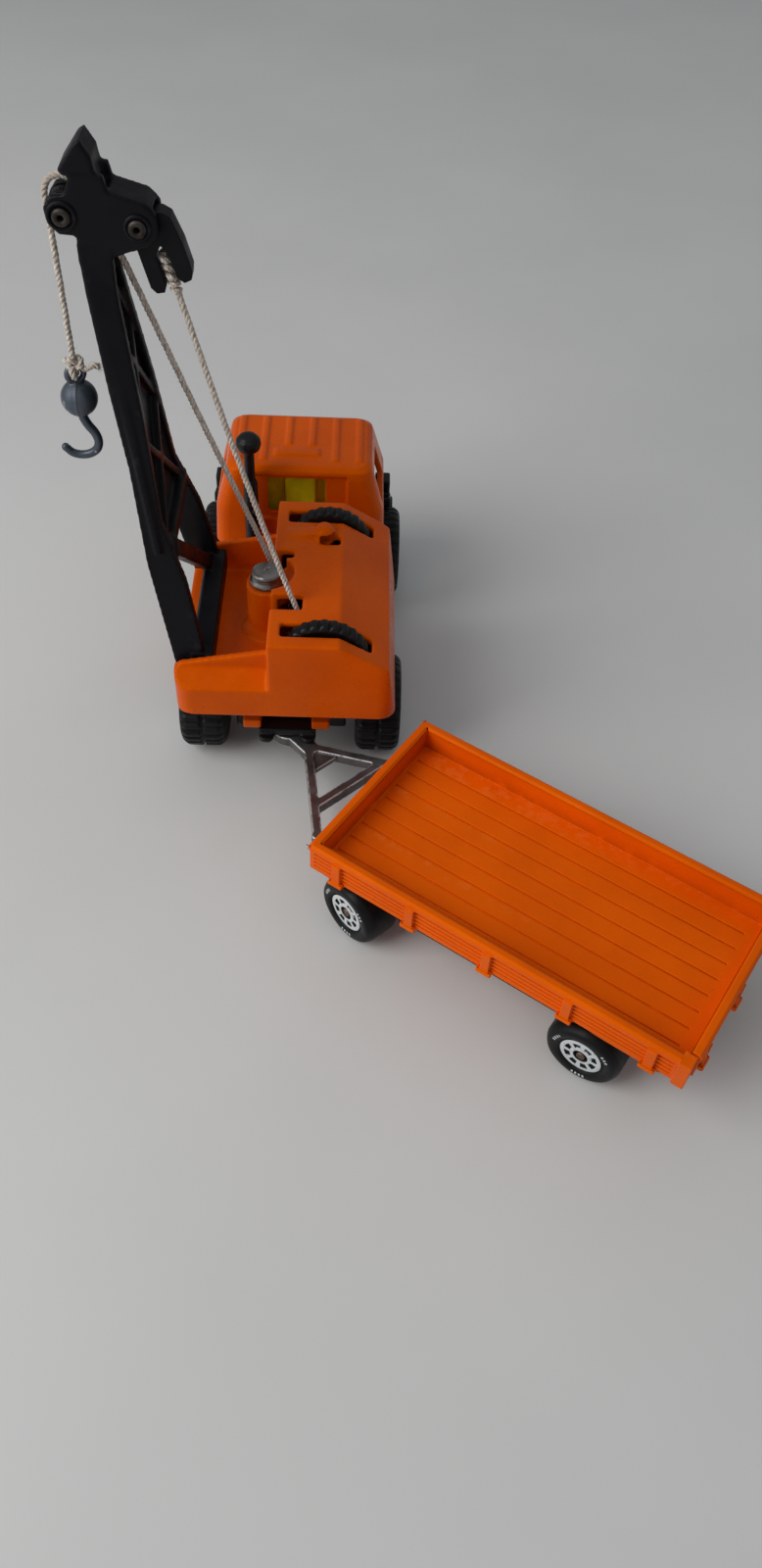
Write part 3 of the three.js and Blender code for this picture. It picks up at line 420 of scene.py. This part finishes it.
def knot_on_hook():
    """An overhand knot where the fall ends, the loop through the hook's eye and the frayed tail."""
    top = Vector((HOOK_X, SLEW_Y, 91.4))
    turns = []
    for i in range(49):
        t = 2 * math.pi * i / 48 + 0.4
        turns.append(top + Vector((
            0.56 * (math.sin(t) + 2 * math.sin(2 * t)),
            0.75 * -math.sin(3 * t),
            0.5 * (math.cos(t) - 2 * math.cos(2 * t)) - 0.6,
        )))
    eye_z = BALL_Z + 4.6
    loop = [
        (HOOK_X - 0.3, SLEW_Y - 0.8, 90.6), (HOOK_X - 0.1, SLEW_Y - 1.4, 89.2),
        (HOOK_X, SLEW_Y - 0.7, eye_z), (HOOK_X, SLEW_Y + 0.7, eye_z),
        (HOOK_X + 0.2, SLEW_Y + 1.4, 89.2), (HOOK_X + 0.5, SLEW_Y + 0.6, 90.7),
    ]
    tail = [
        (HOOK_X + 0.6, SLEW_Y, 90.8), (HOOK_X + 2.2, SLEW_Y - 0.5, 90.2),
        (HOOK_X + 3.6, SLEW_Y - 0.4, 90.9), (HOOK_X + 4.6, SLEW_Y - 0.1, 90.5),
    ]
    points, faces = [], []
    rng = random.Random(7)
    for i, route in enumerate((turns, loop, tail)):
        line = smooth_line([place(*p) for p in route], 0.2 * MM)
        bit = rope_mesh("bit", line, ROPE_R * (0.92 if i == 0 else 1), 20 + i)
        start = len(points)
        points += [v.co.copy() for v in bit.data.vertices]
        faces += [tuple(start + k for k in f.vertices) for f in bit.data.polygons]
        bpy.data.objects.remove(bit)
    end = place(*tail[-1])
    for _ in range(26):
        aim = Vector((rng.uniform(0.6, 1.3), rng.uniform(-0.5, 0.5), rng.uniform(-0.6, 0.6)))
        root = end + Vector((-0.4, rng.uniform(-0.35, 0.35), rng.uniform(-0.35, 0.35))) * MM
        bend = root + aim * 0.5 * MM
        tip = bend + (aim + Vector((0, rng.uniform(-0.5, 0.5), rng.uniform(-0.7, 0.4)))) * 0.45 * MM
        add_tube(points, faces, [root, bend, tip], [0.07 * MM, 0.055 * MM, 0.02 * MM], 4)
    knot = add_mesh("hoist_twine_knot", points, faces, [TWINE])
    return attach(knot, "hook")


def cast_skin(obj, voxel, passes):
    """Merges the mesh into one skin and softens it like a casting. The voxel is in millimetres."""
    skin = obj.modifiers.new("skin", "REMESH")
    skin.mode, skin.voxel_size, skin.use_smooth_shade = "VOXEL", voxel * MM, True
    soft = obj.modifiers.new("soft", "SMOOTH")
    soft.factor, soft.iterations = 0.5, passes


def ball_mesh(points, faces, centre, radius, rings=24, sides=36):
    start = len(points)
    points.append(centre + Vector((0, 0, radius)))
    for i in range(1, rings):
        a = math.pi * i / rings
        for k in range(sides):
            b = 2 * math.pi * k / sides
            out = Vector((math.sin(a) * math.cos(b), math.sin(a) * math.sin(b), math.cos(a)))
            points.append(centre + out * radius)
    points.append(centre - Vector((0, 0, radius)))
    last = len(points) - 1
    for k in range(sides):
        n = (k + 1) % sides
        faces.append((start, start + 1 + k, start + 1 + n))
        for i in range(rings - 2):
            row, below = start + 1 + i * sides, start + 1 + (i + 1) * sides
            faces.append((row + k, below + k, below + n, row + n))
        row = start + 1 + (rings - 2) * sides
        faces.append((row + k, last, row + n))


def ring_line(centre, a, b, radius, steps=40):
    return [centre + (a * math.cos(2 * math.pi * i / steps) + b * math.sin(2 * math.pi * i / steps)) * radius
            for i in range(steps + 1)]


def cast_hook():
    points, faces = [], []
    ball_mesh(points, faces, place(HOOK_X, SLEW_Y, BALL_Z), 3.5 * MM)
    add_tube(points, faces,
             ring_line(place(HOOK_X, SLEW_Y, BALL_Z), Vector((0, 1, 0)), Vector((0, 0, 1)), 3.52 * MM),
             [0.14 * MM] * 41, 6)
    turn = Matrix.Rotation(0.5, 3, "Z")
    add_tube(points, faces, ring_line(place(HOOK_X, SLEW_Y, BALL_Z + 5.0), turn @ Vector((1, 0, 0)),
                                      Vector((0, 0, 1)), 1.6 * MM), [0.6 * MM] * 41, 12)
    bend = [
        (0, 81), (0.15, 79.6), (0.9, 77.8), (1.9, 76.2), (2.35, 74.4), (1.9, 72.7), (0.5, 71.5),
        (-1.3, 71.1), (-3.1, 71.5), (-4.3, 72.7),
    ]
    line = smooth_line([place(HOOK_X + dx, SLEW_Y, z) for dx, z in bend], 0.3 * MM)
    sizes = [(0.94 - 0.14 * i / len(line)) * MM for i in range(len(line))]
    add_tube(points, faces, line, sizes, 16)
    ball_mesh(points, faces, line[-1], 0.84 * MM, 10, 16)
    hook = add_mesh("load_hook_casting", points, faces, [HOOK_PAINT])
    cast_skin(hook, 0.16, 4)
    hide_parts("load_hook")
    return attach(hook, "hook")


knot = knot_on_hook()
hook = cast_hook()
fall_line = route_line(FALL_ROUTE)
fall = rope_mesh("hoist_twine_fall", fall_line, ROPE_R, 3)
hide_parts("hoist_rope_fall")
place(HOOK_X, SLEW_Y, 120.8)
place(HOOK_X, SLEW_Y, 90)
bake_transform(fall)
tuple(fall_line[0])


def tie_on_link():
    """The luffing rope wound on itself between the fork's two fingers."""
    wound = [p for p in luff_line if (p - luff_line[0]).length < 7 * MM]
    line = []
    for i in range(160):
        centre = wound[i * (len(wound) - 1) // 159]
        angle = 2 * math.pi * 5 * i / 159
        line.append(centre + Vector((0.55 * math.cos(angle), 1.25 * math.sin(angle), 0)) * MM)
    tie = rope_mesh("luff_twine_tie", line, ROPE_R * 0.9, 9)
    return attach(tie, "luff_line")


tie_on_link()


# ---------- castings and mouldings carried over from the frame ----------
def soften(node, material, voxel, passes):
    """The CAD node with the rounded edges that a casting has under its paint."""
    cast_skin(paint(node, material), voxel, passes)


def crisp(node, material, width):
    """The CAD node with narrow rounded edges, for planks too fine to be softened whole."""
    obj = paint(node, material)
    weld = obj.modifiers.new("weld", "WELD")
    weld.merge_threshold = 0.002 * MM
    plain = obj.modifiers.new("plain", "DECIMATE")
    plain.decimate_type, plain.angle_limit = "DISSOLVE", math.radians(1)
    edge = obj.modifiers.new("edge", "BEVEL")
    edge.width, edge.segments, edge.limit_method, edge.angle_limit = width * MM, 3, "ANGLE", math.radians(30)
    edge.use_clamp_overlap = False
    edge.harden_normals = True


soften("upper_casting", PAINT, 0.35, 5)
soften("cab_shell", PAINT, 0.26, 6)
soften("chassis_frame", PAINT, 0.3, 4)
for crisp_node in ("trailer_bed", "trailer_tailgate"):
    crisp(crisp_node, BED_PAINT, 0.18)
soften("jib_frame", JIB_BLACK, 0.3, 4)
soften("luff_link", JIB_BLACK, 0.16, 5)
soften("base_plate", BLACK, 0.3, 4)
soften("upper_base", BLACK, 0.4, 3)
soften("trailer_base", BLACK, 0.3, 4)
soften("intake_stack", BLACK, 0.16, 4)
soften("head_pulley", BLACK, 0.12, 3)
soften("cab_interior", YELLOW, 0.3, 4)
soften("drawbar_bogie", ZINC, 0.18, 4)
for rod in ("truck_rear", "truck_front", "trailer_front", "trailer_rear"):
    soften(f"{rod}_axle_rod", AXLE_STEEL, 0.16, 2)
soften("winch_shaft", PIN_STEEL, 0.15, 2)
soften("jib_hinge_pin", PIN_STEEL, 0.15, 2)


# ---------- turned pieces ----------
def lathe_mesh(name, profile, sides, materials, to_world, radius_at=None, slot_at=None):
    """Turns [(radius, along, ...)] round the local X axis. Equal first and last points close the ring."""
    points, faces, slots = [], [], []
    rows = len(profile)
    for i, (radius, along) in enumerate(profile):
        for k in range(sides):
            angle = 2 * math.pi * k / sides
            r = radius_at(i, k, radius) if radius_at else radius
            points.append(to_world @ Vector((along, math.cos(angle) * r, math.sin(angle) * r)))
    for i in range(rows):
        j = (i + 1) % rows
        for k in range(sides):
            n = (k + 1) % sides
            faces.append((i * sides + k, j * sides + k, j * sides + n, i * sides + n))
            slots.append(slot_at(i, k) if slot_at else 0)
    return add_mesh(name, points, faces, materials, slots)


def axis_frame(centre, outward):
    """Local X along outward, local Z up."""
    x = Vector(outward).normalized()
    up = Vector((0, 0, 1)) if abs(x.z) < 0.9 else Vector((0, 1, 0))
    y = up.cross(x).normalized()
    z = x.cross(y)
    turn = Matrix((x, y, z)).transposed().to_4x4()
    return Matrix.Translation(centre) @ turn


WHEEL_SIDES = 192


def make_wheel(node, joint, body, radius, width, bore, lugs):
    """A one-piece plastic wheel: printed hub with eight windows, sidewall and tread."""
    low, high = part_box(node)
    centre = (low + high) / 2
    hub = Vector(JOINTS[joint]["pos_m"])
    outward = (centre - hub).normalized()
    half = width / 2
    R = radius
    profile = [
        (bore, half - 1.1), (R * 0.155, half - 1.1), (R * 0.17, half - 0.95), (R * 0.19, half - 0.42),
        (R * 0.2, half - 0.36), (R * 0.29, half - 0.36), (R * 0.3, half - 0.36), (R * 0.31, half - 0.36),
        (R * 0.44, half - 0.36), (R * 0.45, half - 0.36), (R * 0.46, half - 0.36), (R * 0.545, half - 0.36),
        (R * 0.56, half - 0.42), (R * 0.57, half - 0.7), (R * 0.6, half - 0.72), (R * 0.63, half - 0.3),
        (R * 0.66, half - 0.12), (R * 0.72, half - 0.02), (R * 0.8, half), (R * 0.86, half - 0.06),
        (R * 0.91, half - 0.3), (R * 0.95, half - 0.75), (R * 0.985, half - 1.3),
        (R, half - 1.8), (R, 0.9), (R, 0.5), (R, 0.3), (R, -0.3), (R, -0.5), (R, -0.9), (R, -half + 1.8),
        (R * 0.985, -half + 1.3), (R * 0.95, -half + 0.75), (R * 0.9, -half + 0.25), (R * 0.8, -half),
        (R * 0.47, -half), (R * 0.45, -half + 0.3), (R * 0.45, -half + 2), (bore, -half + 2),
    ]
    window = [6, 7, 8]
    tread_out = range(23, 26)
    tread_in = range(28, 31)

    def angle_in(k, count):
        return (k * count / WHEEL_SIDES) % 1.0

    def radius_at(i, k, r):
        if lugs:
            if i in (26, 27):
                return r - 0.75
            shift = 0.5 if i in tread_in or i > 30 else 0.0
            groove = abs((angle_in(k, lugs) + shift) % 1.0 - 0.5) > 0.33
            if groove and (i in tread_out or i in tread_in):
                return r - 0.6
            if groove and i in (22, 31):
                return r - 0.45
            if groove and i in (21, 32):
                return r - 0.2
        elif i in (26, 27):
            return r + 0.03
        return r

    def in_window(k):
        return 0.2 < angle_in(k, 8) < 0.8

    def mark(k):
        third = angle_in(k, 3)
        return 0.08 < third < 0.5 and math.floor(k / 2) % 2 == 0 and math.floor(k / 7) % 3 != 1

    def slot_at(i, k):
        if i in window and in_window(k):
            return 0
        if 4 <= i <= 11:
            return 1
        if i == 17 and mark(k):
            return 1
        return 0

    wheel_frame = axis_frame(centre, outward) @ Matrix.Scale(MM, 4)
    wheel = lathe_mesh(f"{node}_tyre", profile, WHEEL_SIDES, [TYRE, PRINT], wheel_frame,
                       radius_at, slot_at)
    vertices = wheel.data.vertices
    along = wheel_frame.to_3x3() @ Vector((1, 0, 0))
    for i in window:
        for k in range(WHEEL_SIDES):
            if in_window(k - 1) and in_window(k) and in_window(k + 1):
                vertices[i * WHEEL_SIDES + k].co -= along * 0.25
    sharp = wheel.modifiers.new("edges", "WEIGHTED_NORMAL")
    sharp.keep_sharp = True
    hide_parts(node)
    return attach(wheel, body)


for side in ("left", "right"):
    make_wheel(f"truck_rear_wheel_{side}", "truck_rear_roll", "truck_rear_axle", 11.2, 10.2, 1.4, 30)
    make_wheel(f"truck_front_wheel_{side}", "truck_front_roll", "truck_front_axle", 11.2, 10.2, 1.4, 30)
    make_wheel(f"trailer_front_wheel_{side}", "trailer_front_roll", "trailer_front_axle", 7.7, 8.4, 1.2, 0)
    make_wheel(f"trailer_rear_wheel_{side}", "trailer_rear_roll", "trailer_rear_axle", 7.7, 8.4, 1.2, 0)


def make_thumbwheel(node, body):
    """The knurled black winch wheel: rounded lugs all round, a drum and a flange on its inner side."""
    centre = place(7.8, SLEW_Y, 36)
    low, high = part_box(node)
    outward = Vector((0, math.copysign(1, (low + high).y / 2 - centre.y), 0))
    R, half, lugs, sides = 9.7, 1.6, 26, 26 * 12
    middle_at = centre + outward * 18.9 * MM
    profile = [
        (1.3, half), (3.4, half), (3.8, half - 0.3), (R - 2, half - 0.3), (R - 1.3, half),
        (R - 0.75, half - 0.04), (R - 0.22, half - 0.3), (R, half - 0.75), (R, 0), (R, -half + 0.75),
        (R - 0.22, -half + 0.3), (R - 0.75, -half + 0.04), (R - 1.4, -half), (3.2, -half),
        (3, -half - 0.2), (3, -5.4), (4.4, -5.4), (4.4, -6.4), (1.3, -6.4),
    ]

    def radius_at(i, k, r):
        if 6 <= i <= 10:
            wave = abs(math.sin(math.pi * k * lugs / sides))
            return r - 0.85 * (1 - wave ** 0.55)
        return r

    wheel = lathe_mesh(f"{node}_lugs", profile, sides, [BLACK],
                       axis_frame(middle_at, outward) @ Matrix.Scale(MM, 4), radius_at)
    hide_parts(node)
    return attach(wheel, body)


make_thumbwheel("luff_thumbwheel", "luff_winch")
make_thumbwheel("hoist_thumbwheel", "hoist_winch")


def make_eyelet(node):
    """A hollow rivet through the jib's head, rolled over at both ends."""
    centre = middle(node)
    half, bore = 4.6, 0.55
    profile = [
        (bore, half - 0.15), (0.75, half + 0.02), (1.15, half - 0.02), (1.5, half - 0.25), (1.55, half - 0.6),
        (1.3, half - 0.7), (0.62, half - 0.75), (0.62, -half + 0.75), (1.3, -half + 0.7), (1.55, -half + 0.6),
        (1.5, -half + 0.25), (1.15, -half + 0.02), (0.75, -half - 0.02), (bore, -half + 0.15), (0.42, 0),
    ]
    pin = lathe_mesh(f"{node}_eyelet", profile, 48, [PIN_STEEL],
                     axis_frame(centre, (0, 1, 0)) @ Matrix.Scale(MM, 4))
    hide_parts(node)
    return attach(pin, "jib")


def make_eyelet_seat(node, ring_radius):
    """The moulded rings standing up round an eyelet on both sides of the jib's head."""
    centre = middle(node)
    points, faces = [], []
    for side in (-1, 1):
        at = centre + Vector((0, side * 3.65, 0)) * MM
        ring = ring_line(at, Vector((1, 0, 0)), Vector((0, 0, 1)), ring_radius * MM, 48)
        add_tube(points, faces, ring, [0.42 * MM] * len(ring), 10)
    seat = add_mesh(f"jib_head_rings_{node}", points, faces, [JIB_BLACK])
    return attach(seat, "jib")


make_eyelet_seat("pulley_pin", 2.2)
make_eyelet_seat("link_pin", 1.95)
make_eyelet("pulley_pin")
make_eyelet("link_pin")


def make_rivet():
    """The spun-over end of the steel rivet that holds the upper works down."""
    low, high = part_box("upper_rivet")
    foot = Vector(((low.x + high.x) / 2, (low.y + high.y) / 2, low.z))
    profile = [
        (0.02, 0), (3.68, 0), (3.7, 0.3), (3.62, 0.75), (3.3, 0.95), (3.26, 1.2), (3.08, 1.34),
        (3.24, 1.48), (3.26, 1.7), (3.08, 1.84), (3.24, 1.98), (3.26, 2.3), (3.1, 2.65), (2.75, 2.92),
        (2.2, 3.1), (1.4, 3.2), (0.7, 3.24), (0.02, 3.26),
    ]
    rivet = lathe_mesh("upper_rivet_head", profile, 72, [STEEL],
                       axis_frame(foot, (0, 0, 1)) @ Matrix.Scale(MM, 4))
    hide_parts("upper_rivet")
    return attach(rivet, "upper_works")


make_rivet()


# ---------- stage ----------
def make_floor():
    size = 3
    corners = [(-size, -size, 0), (size, -size, 0), (size, size, 0), (-size, size, 0)]
    m = Nodes("table_top", roughness=0.5, Specular_IOR_Level=0.3)
    m.colour(m.mix(m.spread(m.noise(9, 4), 0.3, 0.7), (0.72, 0.725, 0.72), (0.76, 0.765, 0.76)))
    m.roughness(m.spread(m.noise(60, 3), 0.3, 0.7, 0.42, 0.6))
    m.bump((m.noise(900, 3), 0.08, 0.00004))
    floor = add_mesh("floor", corners, [(0, 1, 2, 3)], [m.material], smooth=False)


def add_light(name, at, size, power, colour, aim=(0, 0, 0.03)):
    data = bpy.data.lights.new(name, "AREA")
    data.shape, data.size, data.size_y = "RECTANGLE", size[0], size[1]
    data.energy, data.color = power, colour
    light = bpy.data.objects.new(name, data)
    light.location = at
    light.rotation_mode = "QUATERNION"
    light.rotation_quaternion = (Vector(aim) - Vector(at)).to_track_quat("-Z", "Y")
    bpy.context.scene.collection.objects.link(light)


make_floor()
add_light("window", (-0.52, -0.22, 0.44), (0.45, 0.6), 3.0, (1, 0.985, 0.96))
add_light("room", (0.1, 0.1, 0.9), (0.9, 0.9), 0.4, (0.95, 0.97, 1))
world = bpy.data.worlds.new("room")
world.use_nodes = True
world.node_tree.nodes["Background"].inputs["Color"].default_value = (0.92, 0.94, 0.96, 1)
world.node_tree.nodes["Background"].inputs["Strength"].default_value = 0.27
bpy.context.scene.world = world
bpy.context.scene.view_settings.view_transform = "Standard"
